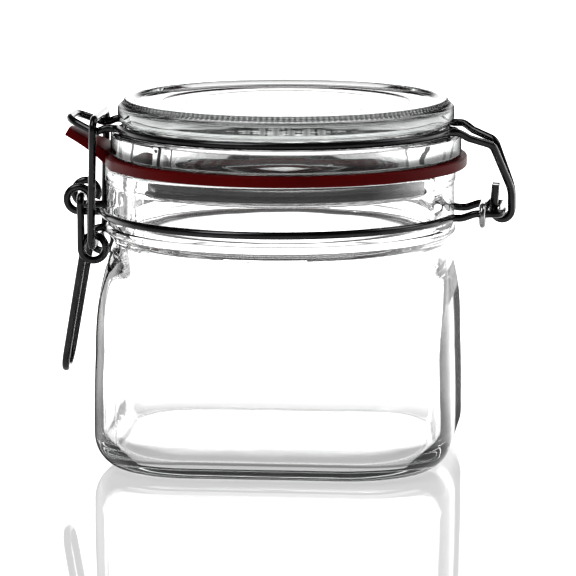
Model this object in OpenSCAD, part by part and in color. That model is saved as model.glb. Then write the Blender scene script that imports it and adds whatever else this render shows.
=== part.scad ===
// Bail clamp jar: a square-bodied glass storage jar whose hinged glass lid is held down on a
// rubber gasket by a wire bail and an over-centre wire latch.
// Z is up, the jar stands on Z = 0 with the neck's axis on X = Y = 0. The hinge is at +X, the
// latch at -X.

/* [Glass body] */
// Width across the flat sides at the widest height
body_w = 98.2; // [96:0.1:99]
// Radius of the body's upright corners
corner_r = 28.4; // [24:0.2:32]
// Height at which the shoulder starts to turn in
shoulder_z = 32; // [28:1:36]
// Height of the waist between shoulder and neck
waist_z = 59.6; // [58.5:0.1:60]
// Glass thickness of the walls
wall_t = 2.6; // [2.2:0.1:3.4]
// Glass thickness of the floor
floor_t = 4; // [3:0.5:6]

/* [Neck] */
// Height of the mouth's sealing face
mouth_z = 80.65; // [80.6:0.05:80.7]
// Outer radius of the neck where the wire band sits
neck_r = 48; // [47.6:0.1:48]
// Outer radius of the sealing flange and of the bead
flange_r = 48.4; // [48:0.1:48.8]
// Radius of the mouth's opening
bore_r = 42.5; // [41.5:0.1:42.6]

/* [Lid and gasket] */
// How far the lid and gasket sit towards the hinge
lid_shift = 1.5; // [1.4:0.1:1.6]
// Outer radius of the gasket
gasket_r = 50; // [49.5:0.1:50]
// Thickness of the gasket
gasket_t = 3; // [2.9:0.05:3]
// Width of the gasket's pull tab
tab_w = 18; // [12:1:19]

/* [Wires] */
// Diameter of the four main wires
wire_d = 2.1; // [1.9:0.05:2.1]
// Diameter of the keeper ring's wire
keeper_d = 1.8; // [1.6:0.1:1.8]
// Length of the lever's handle below its coils
handle_l = 34.8; // [28:0.1:40]

/* [Hidden] */
$fn = 96;

// Glass body: half width, foot rounding, and the join between the body and the turned neck.
half_w = body_w / 2;
foot_in = 8;            // how far the foot's rounded edge turns in
foot_h = 9;             // height of that rounded edge
waist_r = 46;           // radius of the waist
corner_steps = 16;      // points round each upright corner
inner_foot_in = 5.5;    // how far the rounded edge inside turns in
inner_foot_h = 7;       // height of that edge above the floor

// Lid heights, counted up from the gasket's top face.
lid_z = mouth_z + gasket_t;
groove_z = lid_z + 7.7;         // centre of the wire in the lid's groove
lid_top_z = lid_z + 15.55;      // top of the knurled rim
groove_r = 46.4;                // radius of the wire's centre in the groove
disc_r = 46.4;                  // radius of the lid above the groove
rim_r = 44.7;                   // radius of the knurled top rim
plug_r = 38.9;                  // radius of the hollow plug inside the mouth
plug_tip_r = 38.3;              // radius of the plug at its foot
plug_depth = 9.9;               // how far the plug reaches below the lid's sealing face
disc_low_r = 1.9;               // rounding of the disc's lower edge
disc_high_r = 1.6;              // rounding of the disc's upper edge

// Wire band round the neck.
band_z = 67.75;                 // height of the band round the neck
band_r = neck_r + wire_d / 2 + 0.05;
eye_y = 7.2;                    // distance of the latch eyes from the middle
eye_loop_r = 3.35;              // centreline radius of an eye or coil
eye_x = -55.2;
leg_y = 10.8;                   // distance of the hinge legs from the middle

// Axes of the three joints, all along Y.
hinge_x = 61.4;
hinge_z = 69;
pivot_x = -54.6;
pivot_z = 72;
coil_x = -51.05;
coil_z = 57.75;
foot_x = -51;
foot_z = 58.85;

// Lever and link.
bar_y = 9.5;                    // lever bars, outside the eyes
coil_pitch = 2.3;               // sideways shift of the wire over one turn of a coil
link_y = 13.9;                  // link bars, outside the lever
crossbar_x = -50.3;
crossbar_z = 93.8;

// Lid bail.
prong_y = 11.3;                 // where the bail leaves the groove at the latch
branch_y = 11.6;                // where the bail leaves the groove at the hinge
hook_y = 2.2;                   // the two J hooks stand side by side near the middle
hook_r = 2.55;                  // centreline radius of a J hook

function unit(v) = v / norm(v);
function xyz(p) = [p[0], p[1], p[2]];
function mirror_y(p) = [p[0], -p[1], p[2], p[3]];
function reversed(list) = [for (i = [len(list) - 1:-1:0]) list[i]];

// A wire path given on one side of the middle, continued on the other side.
function both_sides(half) = concat(half, reversed([for (p = half) mirror_y(p)]));

// Points along an arc in a profile: centre, radius, first and last angle, number of steps.
function arc(c, r, a0, a1, steps) =
    [for (i = [0:steps]) let (a = a0 + (a1 - a0) * i / steps) [c[0] + r * cos(a), c[1] + r * sin(a)]];

// Where the two straight ends of a wire would meet if they left a ring of radius r
// at latch_a degrees from -X and at hinge_a degrees from +X, on the -Y side.
function ring_corner(r, latch_a, hinge_a, x0, z) =
    let (y = r * (cos(latch_a) + cos(hinge_a)) / sin(latch_a + hinge_a),
         x = (r - y * sin(hinge_a)) / cos(hinge_a))
    [x0 + x, -y, z, r];

// X of the point at distance y from the middle on the straight end that leaves the ring.
function ring_exit(r, a, y) = (r - y * sin(a)) / cos(a);

// A straight stretch of wire: start, unit direction and length. It is a hair longer and thicker
// than the bends it meets, so each bend ends cleanly inside it.
lap = 0.05;
lip = 0.005;
module rod(start, along, length, d) {
    translate(start - along * lap)
        rotate([0, acos(along[2]), atan2(along[1], along[0])])
            cylinder(h = length + 2 * lap, d = d + 2 * lip);
}

// A bent piece of rod: centre, unit vector from the centre to its start, unit direction of
// travel at its start, centreline radius and angle.
module bend(c, out, along, r, angle, d) {
    n = cross(out, along);
    multmatrix([[out[0], along[0], n[0], c[0]], [out[1], along[1], n[1], c[1]],
                [out[2], along[2], n[2], c[2]], [0, 0, 0, 1]])
        rotate_extrude(angle = angle) translate([r, 0]) circle(d = d);
}

// A wire of diameter d through points [x, y, z, bend radius]. Its straight stretches run from
// point to point and each inner corner is rounded with that point's radius.
module bent_wire(path, d) {
    last = len(path) - 1;
    dirs = [for (i = [0:last - 1]) unit(xyz(path[i + 1]) - xyz(path[i]))];
    turns = [for (i = [0:last]) i == 0 || i == last ? 0 : acos(dirs[i - 1] * dirs[i])];
    cuts = [for (i = [0:last]) turns[i] == 0 ? 0 : path[i][3] * tan(turns[i] / 2)];
    for (i = [0:last - 1])
        rod(xyz(path[i]) + dirs[i] * cuts[i], dirs[i],
            norm(xyz(path[i + 1]) - xyz(path[i])) - cuts[i] - cuts[i + 1], d);
    for (i = [1:last - 1]) {
        inward = unit(dirs[i] - dirs[i - 1] * (dirs[i - 1] * dirs[i]));
        start = xyz(path[i]) - dirs[i - 1] * cuts[i];
        bend(start + inward * path[i][3], -inward, dirs[i - 1], path[i][3], turns[i], d);
    }
}

// One level of a rounded square: half width, corner radius and height. When the radius equals
// the half width the level is a circle.
function level(w, r, z) =
    [for (k = [0:3], j = [0:corner_steps - 1])
        let (a = 90 * (k + (j + 0.5) / corner_steps),
             sx = k == 0 || k == 3 ? 1 : -1, sy = k < 2 ? 1 : -1)
        [sx * (w - r) + r * cos(a), sy * (w - r) + r * sin(a), z]];

// Closed solid through levels that all have the same number of points.
module loft(levels) {
    n = len(levels[0]);
    polyhedron(
        points = [for (l = levels, p = l) p],
        faces = concat(
            [[for (j = [0:n - 1]) j]],
            [for (i = [0:len(levels) - 2], j = [0:n - 1])
                [i * n + j, (i + 1) * n + j, (i + 1) * n + (j + 1) % n, i * n + (j + 1) % n]],
            [[for (j = [n - 1:-1:0]) (len(levels) - 1) * n + j]]),
        convexity = 4);
}

// Half width and corner radius of the outer glass at height z, above the foot.
// The sides lean in by belly up to the shoulder, which then curves in to the waist.
belly = 0.35;
belly_z = 15;
function shoulder(z) = max(0, min(1, (z - shoulder_z) / (waist_z - shoulder_z)));
function side_w(z) = z < shoulder_z
    ? half_w - belly * pow(max(0, z - belly_z) / (shoulder_z - belly_z), 2)
    : half_w - belly - (half_w - belly - waist_r) * pow(shoulder(z), 2.6);
function side_r(z) = corner_r + (side_w(z) - corner_r) * pow(shoulder(z), 2.2);

outer_levels = concat(
    [for (a = [0:18:72]) level(half_w - foot_in * (1 - sin(a)), corner_r - foot_in * (1 - sin(a)),
                               foot_h * (1 - cos(a)))],
    [for (z = [foot_h, belly_z, 24]) level(side_w(z), side_r(z), z)],
    [for (i = [0:7]) let (z = shoulder_z + (waist_z - shoulder_z) * i / 7) level(side_w(z), side_r(z), z)]);

inner_top_z = waist_z - 4;
inner_top_r = bore_r + 2.2;
inner_levels = concat(
    [for (a = [0:22.5:67.5])
        let (inset = wall_t + inner_foot_in * (1 - sin(a)))
        level(half_w - inset, corner_r - inset, floor_t + inner_foot_h * (1 - cos(a)))],
    [level(half_w - wall_t, corner_r - wall_t, floor_t + inner_foot_h)],
    [for (i = [0:6]) let (z = 22 + (inner_top_z - 22) * i / 6)
        level(min(side_w(z) - wall_t, inner_top_r), min(side_r(z) - wall_t, inner_top_r), z)]);

// Turned neck: bead, wire seat, flange and the bore.
module neck() {
    rotate_extrude()
        polygon(concat(
            [[bore_r + 0.6, waist_z - 2.6], [waist_r - 0.45, waist_z - 2.6],
             [waist_r - 0.1, waist_z], [46.5, waist_z + 1.2]],
            arc([flange_r - 1.5, 63.3], 1.5, -60, 60, 6),
            [[neck_r - 0.2, 65.2], [neck_r, 66], [neck_r, 76], [flange_r, 76.7]],
            arc([flange_r - 1, mouth_z - 1], 1, 0, 90, 4),
            arc([bore_r + 0.8, mouth_z - 0.8], 0.8, 90, 180, 3),
            [[bore_r, waist_z - 1.6]]));
}

module glass_jar() {
    color("aliceblue", 0.4)
        difference() {
            union() {
                loft(outer_levels);
                neck();
            }
            loft(inner_levels);
            translate([0, 0, inner_top_z - 0.5]) cylinder(h = 30, r = bore_r);
        }
}

// Turned lid: hollow plug, sealing face, flange, wire groove, disc and rim.
module glass_lid() {
    plug_z = lid_z - plug_depth;
    color("aliceblue", 0.4) translate([lid_shift, 0, 0])
        rotate_extrude()
            polygon(concat(
                [[0, lid_z + 9], [27.4, lid_z + 8.8]],
                arc([27.4, lid_z + 2.8], 6, 80, 10, 5),
                [[35, plug_z + 0.8], [35.8, plug_z]],
                arc([plug_tip_r - 1.4, plug_z + 1.4], 1.4, -90, 0, 5),
                [[plug_r, lid_z - 2.65], [bore_r - 0.6, lid_z - 2.45], [bore_r - 0.4, lid_z],
                 [flange_r - 1, lid_z]],
                arc([flange_r - 1, lid_z + 1], 1, -72, 0, 4),
                arc([flange_r - 1, groove_z - wire_d / 2 - 1.1], 1, 0, 90, 5),
                [[groove_r - wire_d / 2 - 0.15, groove_z - wire_d / 2 - 0.1],
                 [groove_r - wire_d / 2 - 0.15, groove_z + wire_d / 2 + 0.1]],
                arc([disc_r - disc_low_r, groove_z + wire_d / 2 + disc_low_r], disc_low_r, -65, 0, 6),
                arc([disc_r - disc_high_r, lid_top_z - 2.9], disc_high_r, 0, 62, 5),
                [[rim_r, lid_top_z - 0.6], [rim_r - 0.5, lid_top_z], [rim_r - 2.1, lid_top_z],
                 [rim_r - 3.2, lid_top_z - 1], [34.4, lid_top_z - 1], [34, lid_top_z - 1.3],
                 [0, lid_top_z - 1.3]]));
}

// Flat ring with a tab that leaves it at the latch, curls up past the lid's edge and thins out.
module rubber_gasket() {
    half_t = gasket_t / 2;
    mid = mouth_z + half_t;
    // the tab's centreline: X, Z, climb in degrees and half thickness
    route = [[-45, mid, 0, half_t], [-46.95, mid + 0.1, 22, half_t], [-49.15, mid + 2.1, 44, half_t],
             [-53.5, mid + 4.6, 33, 1.3], [-59.1, mid + 7.2, 28.5, 1.2]];
    upper = [for (p = route) [p[0] + p[3] * sin(p[2]), p[1] + p[3] * cos(p[2])]];
    lower = [for (p = route) [p[0] - p[3] * sin(p[2]), p[1] - p[3] * cos(p[2])]];
    // the tab seen from above, narrowing from the ring to a rounded tip
    taper_x = -49.5;
    tip = [-57.9, 1.6];
    tip_r = 2;
    outline = concat([[-40, tab_w / 2], [taper_x, tab_w / 2]], arc(tip, tip_r, 120, 180, 4));
    color("firebrick") {
        translate([lid_shift, 0, mouth_z])
            rotate_extrude()
                polygon(concat(
                    [[bore_r, 0], [gasket_r - 0.5, 0]], arc([gasket_r - 0.5, 0.5], 0.5, -60, 0, 2),
                    arc([gasket_r - 0.5, gasket_t - 0.5], 0.5, 0, 90, 3), [[bore_r, gasket_t]]));
        intersection() {
            translate([0, tab_w / 2, 0]) rotate([90, 0, 0])
                linear_extrude(tab_w) polygon(concat(upper, reversed(lower)));
            translate([0, 0, mouth_z - 1]) linear_extrude(20)
                polygon(concat(outline, reversed([for (p = outline) [p[0], -p[1]]])));
        }
    }
}

// One wire: tongue at the latch, groove round the lid, two branches down to the J hooks.
module lid_bail() {
    exit_a = 18;    // degrees round the lid at which the wire leaves its groove
    half = [
        [hinge_x - 1.9, -hook_y, hinge_z + 7, 0],
        [hinge_x - hook_r, -hook_y, hinge_z - hook_r, hook_r - 0.2],
        [hinge_x + hook_r, -hook_y, hinge_z - hook_r, hook_r],
        [hinge_x + hook_r, -hook_y, hinge_z + 5.5, 9],
        [58.9, -6.2, groove_z - 4.05, 3.5],
        [52.6, -9.6, groove_z - 1.75, 4],
        [49.9, -branch_y + 0.5, groove_z, 2.5],
        [lid_shift + ring_exit(groove_r, exit_a, branch_y), -branch_y, groove_z, 2.8],
        ring_corner(groove_r, exit_a, exit_a, lid_shift, groove_z),
        [lid_shift - ring_exit(groove_r, exit_a, prong_y), -prong_y, groove_z, 3],
        [-47.3, -prong_y, groove_z, 3],
        [-50, -prong_y, groove_z - 1.3, 4],
        [-57.9, -7.6, groove_z + 2.15, 5.5]];
    color("dimgray") bent_wire(both_sides(half), wire_d);
}

// One wire: eye, latch leg, round the neck, hinge leg, crossbar and back to the other eye.
module neck_band() {
    latch_a = 12;   // degrees round the neck at which the wire leaves it, latch side
    hinge_a = 16;   // and hinge side
    half = [
        [eye_x, -eye_y, band_z, 0],
        [-ring_exit(band_r, latch_a, eye_y), -eye_y, band_z, 2.8],
        ring_corner(band_r, latch_a, hinge_a, 0, band_z),
        [ring_exit(band_r, hinge_a, leg_y), -leg_y, band_z, 2.2],
        [50.9, -leg_y, band_z, 4],
        [54.4, -leg_y, hinge_z, 4],
        [hinge_x, -leg_y, hinge_z, 2.2]];
    color("dimgray") {
        bent_wire(both_sides(half), wire_d);
        for (s = [-1, 1])
            bend([eye_x, s * eye_y, band_z + eye_loop_r], [0, 0, -1], [-1, 0, 0], eye_loop_r, 300, wire_d);
    }
}

// Flattened ring round both hinge legs.
module keeper_ring() {
    end_r = 2.55;
    end_y = leg_y - 0.3;
    x = 56.5;
    mid_z = hinge_z - 0.5;
    color("gray") {
        for (s = [-1, 1]) {
            rod([x, -end_y, mid_z + s * end_r], [0, 1, 0], 2 * end_y, keeper_d);
            bend([x, s * end_y, mid_z], [0, 0, -s], [0, s, 0], end_r, 180, keeper_d);
        }
    }
}

// One full turn of wire round Y at the foot of a lever bar. It starts at its left side at
// outer_y, and ends there one pitch further in.
module coil(side) {
    tilt = atan(coil_pitch / 2 / (2 * eye_loop_r));
    turn_r = eye_loop_r / cos(tilt);
    for (h = [0, 1])
        translate([coil_x, side * (bar_y - coil_pitch * (0.25 + h / 2)), coil_z])
            rotate([0, 0, side * (h == 0 ? -tilt : tilt)])
                bend([0, 0, 0], [h == 0 ? -1 : 1, 0, 0], [0, 0, h == 0 ? -1 : 1], turn_r, 180, wire_d);
    rod([coil_x + eye_loop_r, side * (bar_y - coil_pitch / 2), coil_z], [0, 0, 1], 0, wire_d);
}

// One wire: hook in an eye, bar, coil, U handle, and the same on the other side.
module latch_lever() {
    left_x = coil_x - eye_loop_r;
    inner_y = bar_y - coil_pitch;
    handle = [
        [left_x, -inner_y, coil_z, 0],
        [left_x, -inner_y, coil_z - 2.75, 8],
        [left_x - 0.158 * handle_l, -6, coil_z - handle_l, 5.2]];
    color("dimgray") {
        bent_wire(both_sides(handle), wire_d);
        for (s = [-1, 1]) {
            bent_wire([[pivot_x, s * 5.6, pivot_z, 0], [pivot_x, s * bar_y, pivot_z, 2],
                       [left_x, s * bar_y, coil_z + 8, 20], [left_x, s * bar_y, coil_z, 0]], wire_d);
            coil(s);
        }
    }
}

// One wire: foot in a coil, bar, crossbar over the tongue, bar and the other foot.
module latch_link() {
    half = [
        [foot_x, -5.9, foot_z, 0],
        [foot_x, -link_y, foot_z, 2.2],
        [crossbar_x, -link_y, crossbar_z, 3]];
    color("dimgray") bent_wire(both_sides(half), wire_d);
}

glass_jar();
glass_lid();
rubber_gasket();
lid_bail();
neck_band();
keeper_ring();
latch_lever();
latch_link();
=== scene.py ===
import math

import bmesh
import bpy
import numpy as np
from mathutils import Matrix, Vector


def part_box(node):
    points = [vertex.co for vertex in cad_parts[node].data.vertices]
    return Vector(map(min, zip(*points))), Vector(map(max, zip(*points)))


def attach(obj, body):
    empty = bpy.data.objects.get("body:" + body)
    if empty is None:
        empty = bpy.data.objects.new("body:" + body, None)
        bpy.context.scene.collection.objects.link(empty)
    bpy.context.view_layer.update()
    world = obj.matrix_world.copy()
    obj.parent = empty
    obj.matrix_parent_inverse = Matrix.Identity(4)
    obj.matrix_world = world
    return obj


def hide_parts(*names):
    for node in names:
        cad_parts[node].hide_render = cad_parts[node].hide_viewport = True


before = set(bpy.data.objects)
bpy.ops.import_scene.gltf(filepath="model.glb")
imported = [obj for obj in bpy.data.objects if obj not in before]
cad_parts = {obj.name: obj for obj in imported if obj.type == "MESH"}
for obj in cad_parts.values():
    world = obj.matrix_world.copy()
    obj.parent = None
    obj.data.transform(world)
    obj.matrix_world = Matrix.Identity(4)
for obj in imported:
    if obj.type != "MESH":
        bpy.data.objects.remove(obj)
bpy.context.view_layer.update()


MM = 0.001

# ------------------------------------------------------------------ sizes read from the frame

JAR_LOW, JAR_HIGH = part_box("glass_jar")
LID_LOW, LID_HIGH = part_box("glass_lid")
GASKET_LOW, GASKET_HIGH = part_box("rubber_gasket")

HALF_W = JAR_HIGH.x                         # half the body's width
MOUTH_Z = JAR_HIGH.z                        # the mouth's sealing face
LID_X = (LID_LOW.x + LID_HIGH.x) / 2        # the lid's axis sits a little towards the hinge
LID_TOP = LID_HIGH.z
GASKET_R = GASKET_HIGH.y
GASKET_T = 3.0 * MM
LID_Z = MOUTH_Z + GASKET_T                  # the lid's sealing face
FLANGE_R = LID_HIGH.y


# ------------------------------------------------------------------ mesh helpers

def smooth_object(name, verts, faces, sharp_angle=None):
    """A mesh object with smooth shading; edges sharper than sharp_angle degrees stay crisp."""
    mesh = bpy.data.meshes.new(name)
    mesh.from_pydata([tuple(v) for v in verts], [], faces)
    bm = bmesh.new()
    bm.from_mesh(mesh)
    bmesh.ops.remove_doubles(bm, verts=bm.verts, dist=1e-7)
    bmesh.ops.recalc_face_normals(bm, faces=bm.faces)
    bm.to_mesh(mesh)
    bm.free()
    mesh.polygons.foreach_set("use_smooth", [True] * len(mesh.polygons))
    if sharp_angle is not None:
        mesh.set_sharp_from_angle(angle=math.radians(sharp_angle))
    obj = bpy.data.objects.new(name, mesh)
    bpy.context.scene.collection.objects.link(obj)
    return obj


def stacked_rings(rings):
    """Vertices and faces of a skin through rings of equal length, closed by a fan at each end."""
    count = len(rings[0])
    verts = [p for ring in rings for p in ring]
    faces = []
    for i in range(len(rings) - 1):
        for j in range(count):
            k = (j + 1) % count
            faces.append((i * count + j, i * count + k, (i + 1) * count + k, (i + 1) * count + j))
    for ring, base in ((rings[0], 0), (rings[-1], (len(rings) - 1) * count)):
        centre = len(verts)
        verts.append(tuple(np.mean(ring, axis=0)))
        faces += [(base + j, base + (j + 1) % count, centre) for j in range(count)]
    return verts, faces


def arc(cx, cz, radius, start, end, steps):
    """Profile points on an arc, angles in degrees from the outward direction."""
    angles = np.radians(np.linspace(start, end, steps + 1))
    return [(cx + radius * math.cos(a), cz + radius * math.sin(a)) for a in angles]


def finely(profile, step):
    """The same profile with extra points, so that none are further apart than step."""
    out = [profile[0]]
    for (x0, z0), (x1, z1) in zip(profile, profile[1:]):
        parts = max(1, math.ceil(math.hypot(x1 - x0, z1 - z0) / step))
        out += [(x0 + (x1 - x0) * i / parts, z0 + (z1 - z0) * i / parts) for i in range(1, parts + 1)]
    return out


def blend_between(a, b, t):
    """From a to b with a smooth start and end as t goes from 0 to 1."""
    t = min(1.0, max(0.0, t))
    return a + (b - a) * t * t * (3 - 2 * t)


# ------------------------------------------------------------------ glass jar

CORNER_R = 28.4 * MM
SHOULDER_Z = 32 * MM
WAIST_Z = 59.6 * MM
WAIST_R = 46 * MM
FOOT_IN = 8 * MM
FOOT_H = 9 * MM
BORE_R = 42.5 * MM
NECK_R = 48 * MM
FLANGE_LOW_Z = 76 * MM
WALL_T = 2.5 * MM
THIN_CORNER = 2.2 * MM          # the inner corners are tighter than the outer ones, so the glass thins there
FLOOR_T = 4.0 * MM
INNER_FOOT_IN = 5.5 * MM
INNER_FOOT_H = 7 * MM
SEAM_ANGLES = (45, 225)         # the two mould halves meet on opposite corners
SEAM_RISE = 0.07 * MM


def jar_angles():
    """Even degrees round the jar, with a few close angles either side of each mould seam."""
    angles = [j + 0.5 for j in range(360)]
    for seam in SEAM_ANGLES:
        angles += [seam + offset for offset in (-0.3, -0.15, 0.0, 0.15, 0.3)]
    return [math.radians(a) for a in sorted(angles)]


JAR_ANGLES = jar_angles()


def rounded_square(width, radius, z, seam=0.0):
    """Points round a rounded square of half that width; a circle if radius is the same."""
    points = []
    flat = width - radius
    for angle in JAR_ANGLES:
        c, s = math.cos(angle), math.sin(angle)
        ca, sa = abs(c), abs(s)
        if width * sa <= flat * ca:
            reach = width / ca
        elif width * ca <= flat * sa:
            reach = width / sa
        else:
            reach = flat * (ca + sa) + math.sqrt(max(0.0, radius ** 2 + flat ** 2 * (2 * ca * sa - 1)))
        if seam and min(abs(math.degrees(angle) - a) for a in SEAM_ANGLES) < 0.1:
            reach += seam
        points.append((reach * c, reach * s, z))
    return points


def side_width(z):
    """Half width of the outer glass above the foot: a slight belly, then the shoulder."""
    belly = 0.35 * MM
    if z < SHOULDER_Z:
        return HALF_W - belly * max(0.0, (z - 15 * MM) / (17 * MM)) ** 2
    t = min(1.0, (z - SHOULDER_Z) / (WAIST_Z - SHOULDER_Z))
    return HALF_W - belly - (HALF_W - belly - WAIST_R) * t ** 2.6


def side_radius(z):
    """Corner radius of the outer glass: it opens into the neck's circle over the shoulder."""
    t = min(1.0, max(0.0, (z - SHOULDER_Z) / (WAIST_Z - SHOULDER_Z)))
    return CORNER_R + (side_width(z) - CORNER_R) * t ** 2.2


def inner_level(z):
    """Half width and corner radius of the cavity above its rounded foot."""
    t = blend_between(0, 1, (WAIST_Z + 3 * MM - z) / (12 * MM))
    top = min(z, WAIST_Z)
    width = BORE_R + (side_width(top) - WALL_T - BORE_R) * t
    thinning = THIN_CORNER * blend_between(1, 0, (z - SHOULDER_Z) / (WAIST_Z - SHOULDER_Z))
    radius = BORE_R + (side_radius(top) - WALL_T - thinning - BORE_R) * t
    return width, min(width, radius)


def jar_rings():
    rings = []
    # the flat base, from its middle outwards
    for share in (0.1, 0.35, 0.6, 0.8, 0.93, 1.0):
        rings.append(rounded_square((HALF_W - FOOT_IN) * share, (CORNER_R - FOOT_IN) * share, 0.0))
    for a in np.radians(np.linspace(6, 90, 15)):
        inset = FOOT_IN * (1 - math.sin(a))
        rings.append(rounded_square(HALF_W - inset, CORNER_R - inset, FOOT_H * (1 - math.cos(a))))
    for z in np.linspace(FOOT_H + 1 * MM, WAIST_Z, 56):
        rings.append(rounded_square(side_width(z), side_radius(z), z, SEAM_RISE))
    neck = [(46.5 * MM, WAIST_Z + 1.2 * MM)]
    neck += arc(FLANGE_R - 1.5 * MM, 63.3 * MM, 1.5 * MM, -60, 60, 14)
    neck += [(NECK_R - 0.2 * MM, 65.2 * MM), (NECK_R, 66 * MM), (NECK_R, 76 * MM),
             (NECK_R + 0.1 * MM, 76.4 * MM), (FLANGE_R, 76.9 * MM)]
    neck += arc(FLANGE_R - 1 * MM, MOUTH_Z - 1 * MM, 1 * MM, 0, 90, 10)
    neck += arc(BORE_R + 0.8 * MM, MOUTH_Z - 0.8 * MM, 0.8 * MM, 90, 180, 8)
    neck += [(BORE_R, WAIST_Z + 3.2 * MM)]
    rings += [rounded_square(r, r, z, SEAM_RISE if r > NECK_R - 1 * MM and z < FLANGE_LOW_Z else 0)
              for r, z in finely(neck, 1.2 * MM)]
    foot_top = FLOOR_T + INNER_FOOT_H
    for z in np.linspace(WAIST_Z + 2.6 * MM, foot_top, 52):
        rings.append(rounded_square(*inner_level(z), z))
    width, radius = inner_level(foot_top)
    for a in np.radians(np.linspace(82, 0, 16)):
        inset = INNER_FOOT_IN * (1 - math.sin(a))
        rings.append(rounded_square(width - inset, radius - inset, foot_top - INNER_FOOT_H * math.cos(a)))
    for share in (0.9, 0.7, 0.45, 0.2):
        rise = 0.5 * MM * math.cos(share * math.pi / 2)
        rings.append(rounded_square((width - INNER_FOOT_IN) * share, (radius - INNER_FOOT_IN) * share,
                                    FLOOR_T + rise))
    return rings


def make_jar():
    verts, faces = stacked_rings(jar_rings())
    return smooth_object("jar_glass", verts, faces, sharp_angle=50)


# ------------------------------------------------------------------ glass lid

KNURL_TEETH = 184
LID_SIDES = KNURL_TEETH * 6
KNURL_DEPTH = 0.28 * MM
RIM_R = 44.7 * MM
DISC_R = 46.4 * MM
GROOVE_Z = LID_Z + 7.7 * MM
GROOVE_HALF = 1.15 * MM
GROOVE_IN_R = 45.2 * MM
PLUG_R = 38.9 * MM
PLUG_TIP_R = 38.3 * MM
PLUG_DEPTH = 9.9 * MM
PLUG_TEETH = 46                 # soft scallops round the plug's lower edge
SCALLOP_DEPTH = 0.12 * MM


def lid_profile():
    """The lid's section from the middle of its hollow underside round to the middle of its top."""
    plug_z = LID_Z - PLUG_DEPTH
    rim_low = LID_TOP - 2.5 * MM
    points = [(0.5 * MM, LID_Z + 9 * MM), (27.2 * MM, LID_Z + 8.85 * MM)]
    points += arc(27.4 * MM, LID_Z + 2.8 * MM, 6 * MM, 84, 10, 12)
    points += [(35 * MM, plug_z + 1 * MM)]
    points += arc(35.9 * MM, plug_z + 0.9 * MM, 0.9 * MM, 190, 270, 6)
    points += arc(PLUG_TIP_R - 1.4 * MM, plug_z + 1.4 * MM, 1.4 * MM, -90, 0, 8)
    points += [(PLUG_R, LID_Z - 2.75 * MM), (PLUG_R + 0.15 * MM, LID_Z - 2.5 * MM),
               (BORE_R - 0.8 * MM, LID_Z - 2.45 * MM), (BORE_R - 0.4 * MM, LID_Z - 2.1 * MM),
               (BORE_R - 0.4 * MM, LID_Z - 0.1 * MM), (BORE_R - 0.2 * MM, LID_Z), (FLANGE_R - 1 * MM, LID_Z)]
    points += arc(FLANGE_R - 1 * MM, LID_Z + 1 * MM, 1 * MM, -80, 0, 8)
    points += arc(FLANGE_R - 1 * MM, GROOVE_Z - GROOVE_HALF - 1 * MM, 1 * MM, 0, 90, 8)
    points += [(GROOVE_IN_R + 0.2 * MM, GROOVE_Z - GROOVE_HALF), (GROOVE_IN_R, GROOVE_Z - GROOVE_HALF + 0.2 * MM),
               (GROOVE_IN_R, GROOVE_Z + GROOVE_HALF - 0.2 * MM), (GROOVE_IN_R + 0.2 * MM, GROOVE_Z + GROOVE_HALF)]
    points += arc(DISC_R - 1.9 * MM, GROOVE_Z + GROOVE_HALF + 1.8 * MM, 1.9 * MM, -66, 0, 10)
    points += arc(DISC_R - 1.6 * MM, rim_low - 0.4 * MM, 1.6 * MM, 0, 62, 8)
    points += [(RIM_R + 0.35 * MM, rim_low + 1.25 * MM), (RIM_R, LID_TOP - 0.6 * MM)]
    points += arc(RIM_R - 0.6 * MM, LID_TOP - 0.6 * MM, 0.6 * MM, 10, 90, 5)
    points += [(RIM_R - 2.1 * MM, LID_TOP), (RIM_R - 2.7 * MM, LID_TOP - 0.25 * MM),
               (RIM_R - 3.4 * MM, LID_TOP - 0.9 * MM), (RIM_R - 4 * MM, LID_TOP - 1 * MM),
               (34.6 * MM, LID_TOP - 1 * MM), (34.1 * MM, LID_TOP - 1.12 * MM), (33.7 * MM, LID_TOP - 1.28 * MM),
               (27.8 * MM, LID_TOP - 1.3 * MM), (27.4 * MM, LID_TOP - 1.37 * MM), (27 * MM, LID_TOP - 1.3 * MM),
               (0.5 * MM, LID_TOP - 1.3 * MM)]
    return finely(points, 1.5 * MM)


def knurl_share(radius, z):
    """How strongly the knurling cuts at a profile point: only round the rim's outer top edge."""
    on_rim = abs(radius - RIM_R) < 0.75 * MM and LID_TOP - 1.9 * MM < z < LID_TOP - 0.05 * MM
    return 1.0 if on_rim else 0.0


def make_lid():
    angles = 2 * math.pi * np.arange(LID_SIDES) / LID_SIDES
    tooth = 0.5 - 0.5 * np.cos(KNURL_TEETH * angles)
    scallop = 0.5 - 0.5 * np.cos(PLUG_TEETH * angles + 2 * np.sin(5 * angles))
    rings = []
    for radius, z in lid_profile():
        cut = KNURL_DEPTH * knurl_share(radius, z) * tooth
        if z < LID_Z - PLUG_DEPTH + 1.5 * MM and radius > 36.9 * MM:
            cut = SCALLOP_DEPTH * scallop
        rings.append(list(zip(LID_X + (radius - cut) * np.cos(angles), (radius - cut) * np.sin(angles),
                              np.full(LID_SIDES, z) - 0.4 * cut)))
    verts, faces = stacked_rings(rings)
    return smooth_object("lid_glass", verts, faces, sharp_angle=40)


# ------------------------------------------------------------------ rubber gasket

TAB_HALF = 9 * MM
TAB_CORNER = 0.45 * MM
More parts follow.
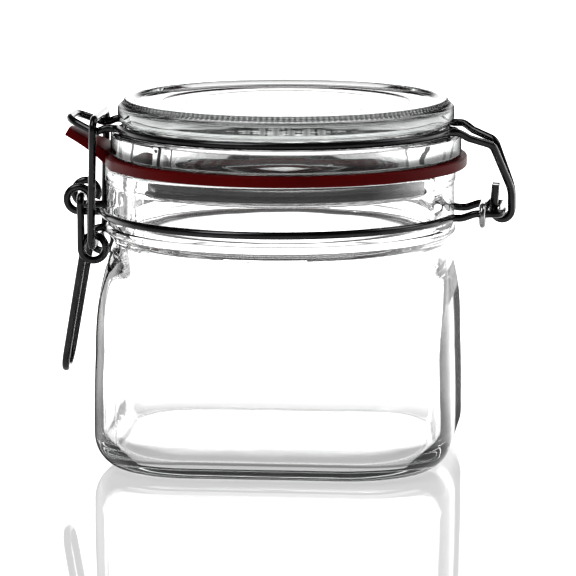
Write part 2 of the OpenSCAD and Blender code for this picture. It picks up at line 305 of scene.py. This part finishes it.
# the tab's centreline: x, rise above the ring's middle, climb in degrees and half thickness
TAB_ROUTE = ((-44, 0, 0, 1.5), (-45.4, 0, 4, 1.5), (-46.95, 0.1, 22, 1.5), (-49.15, 2.1, 44, 1.5),
             (-53.5, 4.6, 33, 1.3), (-59.1, 7.2, 28.5, 1.2))
TAB_TAPER_START = -49.5 * MM    # where the tab starts to narrow towards its tip
TAB_TAPER = 0.6                 # how fast each side comes in
TAB_STEPS = 6


def rounded_box(half_w, half_t, corner, steps):
    """Points round a rounded rectangle, as (across, up) pairs."""
    out = []
    for sx, sz, start in ((1, 1, 0), (-1, 1, 90), (-1, -1, 180), (1, -1, 270)):
        out += arc(sx * (half_w - corner), sz * (half_t - corner), corner, start, start + 90, steps)
    return out


def smooth_route(route, steps):
    """A route given by a few stations, with steps smooth stations from each one to the next."""
    stations = np.array([route[0], *route, route[-1]], dtype=float)
    out = [stations[1]]
    for i in range(1, len(stations) - 2):
        before, start, end, after = stations[i - 1:i + 3]
        for t in np.linspace(0, 1, steps + 1)[1:]:
            out.append(0.5 * (2 * start + (end - before) * t + (2 * before - 5 * start + 4 * end - after) * t ** 2
                              + (3 * start - before - 3 * end + after) * t ** 3))
    return out


def make_gasket():
    middle_z = MOUTH_Z + GASKET_T / 2
    ring_half = (GASKET_R - BORE_R) / 2
    section = rounded_box(ring_half, GASKET_T / 2, 0.5 * MM, 4)
    turns = 288
    verts, faces = [], []
    for j in range(turns):
        a = 2 * math.pi * j / turns
        for across, up in section:
            radius = BORE_R + ring_half + across
            verts.append((LID_X + radius * math.cos(a), radius * math.sin(a), middle_z + up))
    n = len(section)
    for j in range(turns):
        for i in range(n):
            k, m = (i + 1) % n, (j + 1) % turns
            faces.append((j * n + i, j * n + k, m * n + k, m * n + i))
    ring = smooth_object("gasket_ring", verts, faces)

    rings = []
    for x, rise, climb, half_t in smooth_route(TAB_ROUTE, TAB_STEPS):
        a = math.radians(climb)
        half = TAB_HALF - TAB_TAPER * max(0.0, TAB_TAPER_START - x * MM)
        rings.append([(x * MM + up * math.sin(a), across, middle_z + rise * MM + up * math.cos(a))
                      for across, up in rounded_box(half, half_t * MM, TAB_CORNER, 4)])
    tab = smooth_object("gasket_tab", *stacked_rings(rings), sharp_angle=50)

    union = ring.modifiers.new("tab", "BOOLEAN")
    union.operation = "UNION"
    union.solver = "EXACT"
    union.object = tab
    return applied(ring, "gasket_rubber", [tab])


def applied(obj, name, used):
    """obj with its modifiers made permanent and a new name; the helper objects are removed."""
    depsgraph = bpy.context.evaluated_depsgraph_get()
    mesh = bpy.data.meshes.new_from_object(obj.evaluated_get(depsgraph))
    mesh.name = name
    obj.modifiers.clear()
    obj.data = mesh
    obj.name = name
    mesh.polygons.foreach_set("use_smooth", [True] * len(mesh.polygons))
    mesh.set_sharp_from_angle(angle=math.radians(45))
    for helper in used:
        bpy.data.objects.remove(helper)
    return obj


# ------------------------------------------------------------------ materials

EDGE_SHADE_START = 0.60               # how far the glass turns away from the eye before painted shade darkens its edge
EDGE_SHADE_END = 0.93
SHADE_ATTRIBUTE = "shade"        # per point: painted shade, how dark the glass is drawn however it is seen
# painted shade on the glass, however it is seen: the plug's wall band, the flange's foot, the disc's side, two
# fine rings on top and the jar's foot
PLUG_SHADE_LOW = 75.9 * MM
PLUG_SHADE_HIGH = 78.3 * MM
FLANGE_SHADE = 0.75
DISC_SHADE = 0.5
TOP_RINGS = (34.1 * MM, 27.4 * MM)
RING_SHADE = 0.45
FOOT_SHADE = 0.6
INNER_EDGE_SHADE = 0.55
EDGE_SHADE_ATTRIBUTE = "edge_shade_weight"   # per point: how strongly painted shade darkens the glass's edges, 1 where it turns a corner, 0 on its level and flat faces
GLASS_DENSITY = 7.0             # absorption per metre


def new_material(name):
    material = bpy.data.materials.new(name)
    material.use_nodes = True
    tree = material.node_tree
    return material, tree, tree.nodes["Principled BSDF"]


def add(tree, kind, **values):
    """A node with its properties or input values set by name."""
    node = tree.nodes.new(kind)
    for key, value in values.items():
        if key in node.inputs:
            node.inputs[key].default_value = value
        else:
            setattr(node, key, value)
    return node


def ramp(tree, source, stops):
    """A colour ramp fed by source, with stops of (position, colour)."""
    node = tree.nodes.new("ShaderNodeValToRGB")
    elements = node.color_ramp.elements
    while len(elements) > 1:
        elements.remove(elements[-1])
    for i, (position, colour) in enumerate(stops):
        element = elements[0] if i == 0 else elements.new(position)
        element.position = position
        element.color = (*colour, 1)
    tree.links.new(source, node.inputs["Fac"])
    return node.outputs["Color"]


def object_coordinates(tree):
    return tree.nodes.new("ShaderNodeTexCoord").outputs["Object"]


def glass_material(name, wave_scale, wave_height):
    """Clear pressed glass: faint grey-green in depth, soft waves from the mould, and painted shade that mixes it
    towards near-black at grazing angles and where the stored shade asks.
    """
    material, tree, shader = new_material(name)
    output = tree.nodes["Material Output"]
    shader.inputs["Base Color"].default_value = (1, 1, 1, 1)
    shader.inputs["Transmission Weight"].default_value = 1.0
    shader.inputs["Roughness"].default_value = 0.0
    shader.inputs["IOR"].default_value = 1.5
    waves = add(tree, "ShaderNodeTexNoise", Scale=wave_scale, Detail=2.0, Roughness=0.4)
    tree.links.new(object_coordinates(tree), waves.inputs["Vector"])
    bump = add(tree, "ShaderNodeBump", Strength=1.0, Distance=wave_height)
    tree.links.new(waves.outputs["Fac"], bump.inputs["Height"])
    tree.links.new(bump.outputs["Normal"], shader.inputs["Normal"])

    # painted shade: the glass mixes towards a near-black diffuse as it turns away from the eye, by the stored
    # edge weight, or by the stored shade where that is larger
    edge = add(tree, "ShaderNodeMapRange", interpolation_type="SMOOTHSTEP")
    edge.inputs["From Min"].default_value = EDGE_SHADE_START
    edge.inputs["From Max"].default_value = EDGE_SHADE_END
    facing = add(tree, "ShaderNodeLayerWeight", Blend=0.5)
    tree.links.new(facing.outputs["Facing"], edge.inputs["Value"])
    weight = add(tree, "ShaderNodeAttribute", attribute_name=EDGE_SHADE_ATTRIBUTE)
    share = add(tree, "ShaderNodeMath", operation="MULTIPLY")
    tree.links.new(edge.outputs["Result"], share.inputs[0])
    tree.links.new(weight.outputs["Fac"], share.inputs[1])
    shade = add(tree, "ShaderNodeAttribute", attribute_name=SHADE_ATTRIBUTE)
    painted_shade_share = add(tree, "ShaderNodeMath", operation="MAXIMUM")
    tree.links.new(share.outputs["Value"], painted_shade_share.inputs[0])
    tree.links.new(shade.outputs["Fac"], painted_shade_share.inputs[1])
    dark = add(tree, "ShaderNodeBsdfDiffuse")
    dark.inputs["Color"].default_value = (0.004, 0.0045, 0.004, 1)
    mix = add(tree, "ShaderNodeMixShader")
    tree.links.new(painted_shade_share.outputs["Value"], mix.inputs["Fac"])
    tree.links.new(shader.outputs["BSDF"], mix.inputs[1])
    tree.links.new(dark.outputs["BSDF"], mix.inputs[2])
    tree.links.new(mix.outputs["Shader"], output.inputs["Surface"])

    depth = add(tree, "ShaderNodeVolumeAbsorption", Density=GLASS_DENSITY)
    depth.inputs["Color"].default_value = (0.03, 0.09, 0.06, 1)
    tree.links.new(depth.outputs["Volume"], output.inputs["Volume"])
    return material


def steel_material(name, dark, light, roughness):
    """Drawn steel wire: bright-rolled metal with fine drawing marks and faint dull patches, in the tones given,
    which carry painted shade or painted light.
    """
    material, tree, shader = new_material(name)
    shader.inputs["Metallic"].default_value = 1.0
    where = object_coordinates(tree)
    patches = add(tree, "ShaderNodeTexNoise", Scale=180.0, Detail=4.0, Roughness=0.6)
    tree.links.new(where, patches.inputs["Vector"])
    tree.links.new(ramp(tree, patches.outputs["Fac"], [(0.35, dark), (0.7, light)]), shader.inputs["Base Color"])
    rough = add(tree, "ShaderNodeMapRange")
    rough.inputs["To Min"].default_value = roughness * 0.8
    rough.inputs["To Max"].default_value = roughness * 1.3
    tree.links.new(patches.outputs["Fac"], rough.inputs["Value"])
    tree.links.new(rough.outputs["Result"], shader.inputs["Roughness"])
    marks = add(tree, "ShaderNodeTexNoise", Scale=2600.0, Detail=3.0, Roughness=0.7)
    tree.links.new(where, marks.inputs["Vector"])
    bump = add(tree, "ShaderNodeBump", Strength=0.25, Distance=0.00003)
    tree.links.new(marks.outputs["Fac"], bump.inputs["Height"])
    tree.links.new(bump.outputs["Normal"], shader.inputs["Normal"])
    return material


def rubber_material():
    """Deep red moulded rubber: satin, slightly mottled, with a fine grain."""
    material, tree, shader = new_material("red_rubber")
    shader.inputs["Specular IOR Level"].default_value = 0.05
    where = object_coordinates(tree)
    mottle = add(tree, "ShaderNodeTexNoise", Scale=70.0, Detail=5.0, Roughness=0.65)
    tree.links.new(where, mottle.inputs["Vector"])
    colour = ramp(tree, mottle.outputs["Fac"], [(0.3, (0.085, 0.0003, 0.0006)), (0.7, (0.12, 0.0006, 0.001))])
    tree.links.new(colour, shader.inputs["Base Color"])
    rough = add(tree, "ShaderNodeMapRange")
    rough.inputs["To Min"].default_value = 0.4
    rough.inputs["To Max"].default_value = 0.55
    tree.links.new(mottle.outputs["Fac"], rough.inputs["Value"])
    tree.links.new(rough.outputs["Result"], shader.inputs["Roughness"])
    grain = add(tree, "ShaderNodeTexNoise", Scale=1800.0, Detail=2.0)
    tree.links.new(where, grain.inputs["Vector"])
    bump = add(tree, "ShaderNodeBump", Strength=0.2, Distance=0.00005)
    tree.links.new(grain.outputs["Fac"], bump.inputs["Height"])
    tree.links.new(bump.outputs["Normal"], shader.inputs["Normal"])
    return material


def weigh(obj, attribute, weight_of):
    """Store a number on every point, worked out from its position and normal."""
    mesh = obj.data
    layer = mesh.attributes.new(attribute, "FLOAT", "POINT")
    layer.data.foreach_set("value", [weight_of(v.co, v.normal) for v in mesh.vertices])


def jar_edge_shade_weight(co, normal):
    """Painted shade at the glass's edges: the neck and the upright corners darken, the inside less, the middles
    of the flat sides hardly.
    """
    outside = co.x * normal.x + co.y * normal.y > 0.3 * math.hypot(co.x, co.y)
    if co.z > SHOULDER_Z + 14 * MM:
        on_waist = WAIST_Z - 6 * MM < co.z < WAIST_Z + 3.2 * MM
        return blend_between(0.8, 0.2, (abs(normal.z) - 0.5) / 0.4) if outside and not on_waist else 0.0
    lean = min(abs(co.x), abs(co.y)) / max(abs(co.x), abs(co.y), MM)
    if outside:
        # painted shade: flat sides darken towards the back; the corners on the hinge side stay lighter
        flat = blend_between(0.1, 0.95, (co.y + 13 * MM) / (10 * MM))
        corner = 1.0 if co.x < 0 else 0.5 if co.y > 0 else 0.0
        return blend_between(flat, corner, (lean - 0.36) / 0.08)
    if co.z < FLOOR_T + INNER_FOOT_H or co.x > 0:
        return 0.0
    return INNER_EDGE_SHADE * blend_between(0.0, 1.0, (lean - 0.45) / 0.1)


def lid_edge_shade_weight(co, normal):
    """Painted shade at the glass's edges: everything that isn't level darkens; the hollow underside doesn't."""
    radius = math.hypot(co.x - LID_X, co.y)
    if co.z < LID_TOP - 3 * MM and radius < PLUG_TIP_R - 1.2 * MM:
        return 0.0
    return blend_between(1.0, 0.08, (abs(normal.z) - 0.5) / 0.45)


def band(value, low, high, soft):
    """1 between low and high, fading to 0 over the width soft outside them."""
    rise = blend_between(0.0, 1.0, (value - low) / soft + 1)
    fall = blend_between(0.0, 1.0, (high - value) / soft + 1)
    return min(rise, fall)


def lid_shade(co, normal):
    """Painted shade, however the lid is seen: the plug's wall, the flange's foot, the knurling, the disc's upper
    side and two fine rings.
    """
    radius = math.hypot(co.x - LID_X, co.y)
    outward = ((co.x - LID_X) * normal.x + co.y * normal.y) / max(radius, MM)
    if radius > PLUG_TIP_R - 1.5 * MM and co.z < LID_Z - 2.4 * MM and outward > 0.1:
        return 0.98 * band(co.z, PLUG_SHADE_LOW, PLUG_SHADE_HIGH, 0.5 * MM)
    if radius > FLANGE_R - 1.2 * MM and co.z < GROOVE_Z:
        return FLANGE_SHADE * band(co.z, LID_Z, LID_Z + 1.9 * MM, 0.8 * MM)
    if knurl_share(radius, co.z) > 0:
        tooth = 0.5 - 0.5 * math.cos(KNURL_TEETH * math.atan2(co.y, co.x - LID_X))
        return 0.25 + 0.6 * tooth
    if radius > DISC_R - 1.5 * MM and co.z < LID_TOP:
        return DISC_SHADE * blend_between(0.0, 1.0, (co.z - GROOVE_Z - 2.2 * MM) / (3.6 * MM))
    if co.z > LID_TOP - 1.6 * MM and radius < 36 * MM:
        return RING_SHADE * max(band(radius, ring, ring, 0.35 * MM) for ring in TOP_RINGS)
    return 0.0


def jar_shade(co, normal):
    """Painted shade: the foot's lowest edge is darkened where the glass meets what it stands on."""
    return FOOT_SHADE * band(co.z, 0.0, 0.9 * MM, 0.8 * MM) if co.z < 3 * MM and normal.z > -0.97 else 0.0


def coat(obj, material):
    obj.data.materials.clear()
    obj.data.materials.append(material)


# ------------------------------------------------------------------ stage, light and camera

FLOOR_GLOW = 0.55
FLOOR_GLOW_BEHIND = 1.4
BACKDROP_AIM = (0.2, 0.98, 0.0)
BACKDROP_LIGHT = 2.5
SIDE_LIGHT = 0.22
CEILING_LIGHT = 0.05


def make_floor():
    """A wide, pale, glossy sweep that lights the glass from behind and below."""
    floor = smooth_object("floor", [(-4, -4, 0), (4, -4, 0), (4, 4, 0), (-4, 4, 0)], [(0, 1, 2, 3)])
    material, tree, shader = new_material("white_floor")
    shader.inputs["Base Color"].default_value = (0.3, 0.3, 0.3, 1)
    shader.inputs["Roughness"].default_value = 0.03
    shader.inputs["Emission Color"].default_value = (1, 1, 1, 1)
    # a little brighter behind the jar, as a sweep lit from the back is
    split = add(tree, "ShaderNodeSeparateXYZ")
    tree.links.new(object_coordinates(tree), split.inputs["Vector"])
    glow = add(tree, "ShaderNodeMapRange", interpolation_type="SMOOTHSTEP")
    glow.inputs["From Min"].default_value = 0.02
    glow.inputs["From Max"].default_value = 0.09
    glow.inputs["To Min"].default_value = FLOOR_GLOW
    glow.inputs["To Max"].default_value = FLOOR_GLOW_BEHIND
    tree.links.new(split.outputs["Y"], glow.inputs["Value"])
    tree.links.new(glow.outputs["Result"], shader.inputs["Emission Strength"])
    coat(floor, material)
    floor.location.z = -0.0002


def make_world():
    """Soft studio surroundings: a bright backdrop behind the jar, paler at the sides, dim overhead."""
    world = bpy.data.worlds.new("studio")
    bpy.context.scene.world = world
    world.use_nodes = True
    tree = world.node_tree
    background = tree.nodes["Background"]
    direction = tree.nodes.new("ShaderNodeTexCoord")
    split = tree.nodes.new("ShaderNodeSeparateXYZ")
    tree.links.new(direction.outputs["Generated"], split.inputs["Vector"])
    behind = add(tree, "ShaderNodeVectorMath", operation="DOT_PRODUCT")
    behind.inputs[1].default_value = BACKDROP_AIM
    tree.links.new(direction.outputs["Generated"], behind.inputs[0])
    around = add(tree, "ShaderNodeMapRange", interpolation_type="SMOOTHSTEP")
    around.inputs["From Min"].default_value = -0.2
    around.inputs["From Max"].default_value = 0.6
    around.inputs["To Min"].default_value = SIDE_LIGHT
    around.inputs["To Max"].default_value = BACKDROP_LIGHT
    tree.links.new(behind.outputs["Value"], around.inputs["Value"])
    height = add(tree, "ShaderNodeMapRange", interpolation_type="SMOOTHSTEP")
    height.inputs["From Min"].default_value = 0.19
    height.inputs["From Max"].default_value = 0.34
    tree.links.new(split.outputs["Z"], height.inputs["Value"])
    blend = add(tree, "ShaderNodeMix", data_type="FLOAT")
    blend.inputs["B"].default_value = CEILING_LIGHT
    tree.links.new(height.outputs["Result"], blend.inputs["Factor"])
    tree.links.new(around.outputs["Result"], blend.inputs["A"])
    tree.links.new(blend.outputs["Result"], background.inputs["Strength"])
    background.inputs["Color"].default_value = (1, 1, 1, 1)


def make_softbox(name, location, target, size, power):
    light = bpy.data.lights.new(name, "AREA")
    light.shape = "RECTANGLE"
    light.size, light.size_y = size
    light.energy = power
    obj = bpy.data.objects.new(name, light)
    obj.location = location
    obj.rotation_euler = (Vector(target) - Vector(location)).to_track_quat("-Z", "Y").to_euler()
    bpy.context.scene.collection.objects.link(obj)


def make_camera():
    """A long lens, a little right of the front and a little above."""
    azimuth, elevation = math.radians(5.6), math.radians(9.03)
    distance = 1.3
    aim_height = 45.94 * MM
    aim_right = 2.05 * MM
    right = Vector((math.cos(azimuth), math.sin(azimuth), 0))
    back = Vector((math.sin(azimuth) * math.cos(elevation), -math.cos(azimuth) * math.cos(elevation),
                   math.sin(elevation)))
    data = bpy.data.cameras.new("camera")
    data.sensor_width = 36
    data.lens = 293
    data.clip_end = 20
    camera = bpy.data.objects.new("camera", data)
    camera.location = right * aim_right + Vector((0, 0, aim_height)) + back * distance
    camera.rotation_euler = (-back).to_track_quat("-Z", "Y").to_euler()
    bpy.context.scene.collection.objects.link(camera)
    bpy.context.scene.camera = camera


# ------------------------------------------------------------------ build

make_camera()
make_world()
make_floor()
make_softbox("key", (-0.5, -0.5, 1.1), (0, 0, 0.05), (0.5, 0.8), 6)
make_softbox("fill", (0.8, 0.3, 0.9), (0, 0, 0.05), (0.5, 0.5), 3)

jar = make_jar()
weigh(jar, EDGE_SHADE_ATTRIBUTE, jar_edge_shade_weight)
weigh(jar, SHADE_ATTRIBUTE, jar_shade)
coat(jar, glass_material("jar_glass", 45.0, 0.00012))
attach(jar, "jar")
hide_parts("glass_jar")

lid = make_lid()
weigh(lid, EDGE_SHADE_ATTRIBUTE, lid_edge_shade_weight)
weigh(lid, SHADE_ATTRIBUTE, lid_shade)
coat(lid, glass_material("lid_glass", 60.0, 0.0001))
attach(lid, "lid")
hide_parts("glass_lid")

gasket = make_gasket()
coat(gasket, rubber_material())
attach(gasket, "lid")
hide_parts("rubber_gasket")

# painted shade and painted light: the bail, band, lever and link share a near-black copy of the steel, the keeper
# ring a pale copy
shaded_wire = steel_material("steel_wire", (0.028, 0.028, 0.029), (0.05, 0.05, 0.052), 0.16)
lit_wire = steel_material("bright_wire", (0.3, 0.3, 0.3), (0.5, 0.5, 0.51), 0.16)
for node in ("lid_bail", "neck_band", "latch_lever", "latch_link"):
    coat(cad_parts[node], shaded_wire)
coat(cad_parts["keeper_ring"], lit_wire)

scene = bpy.context.scene
scene.view_settings.view_transform = "Standard"
scene.cycles.max_bounces = 24
scene.cycles.transmission_bounces = 24
scene.cycles.glossy_bounces = 12
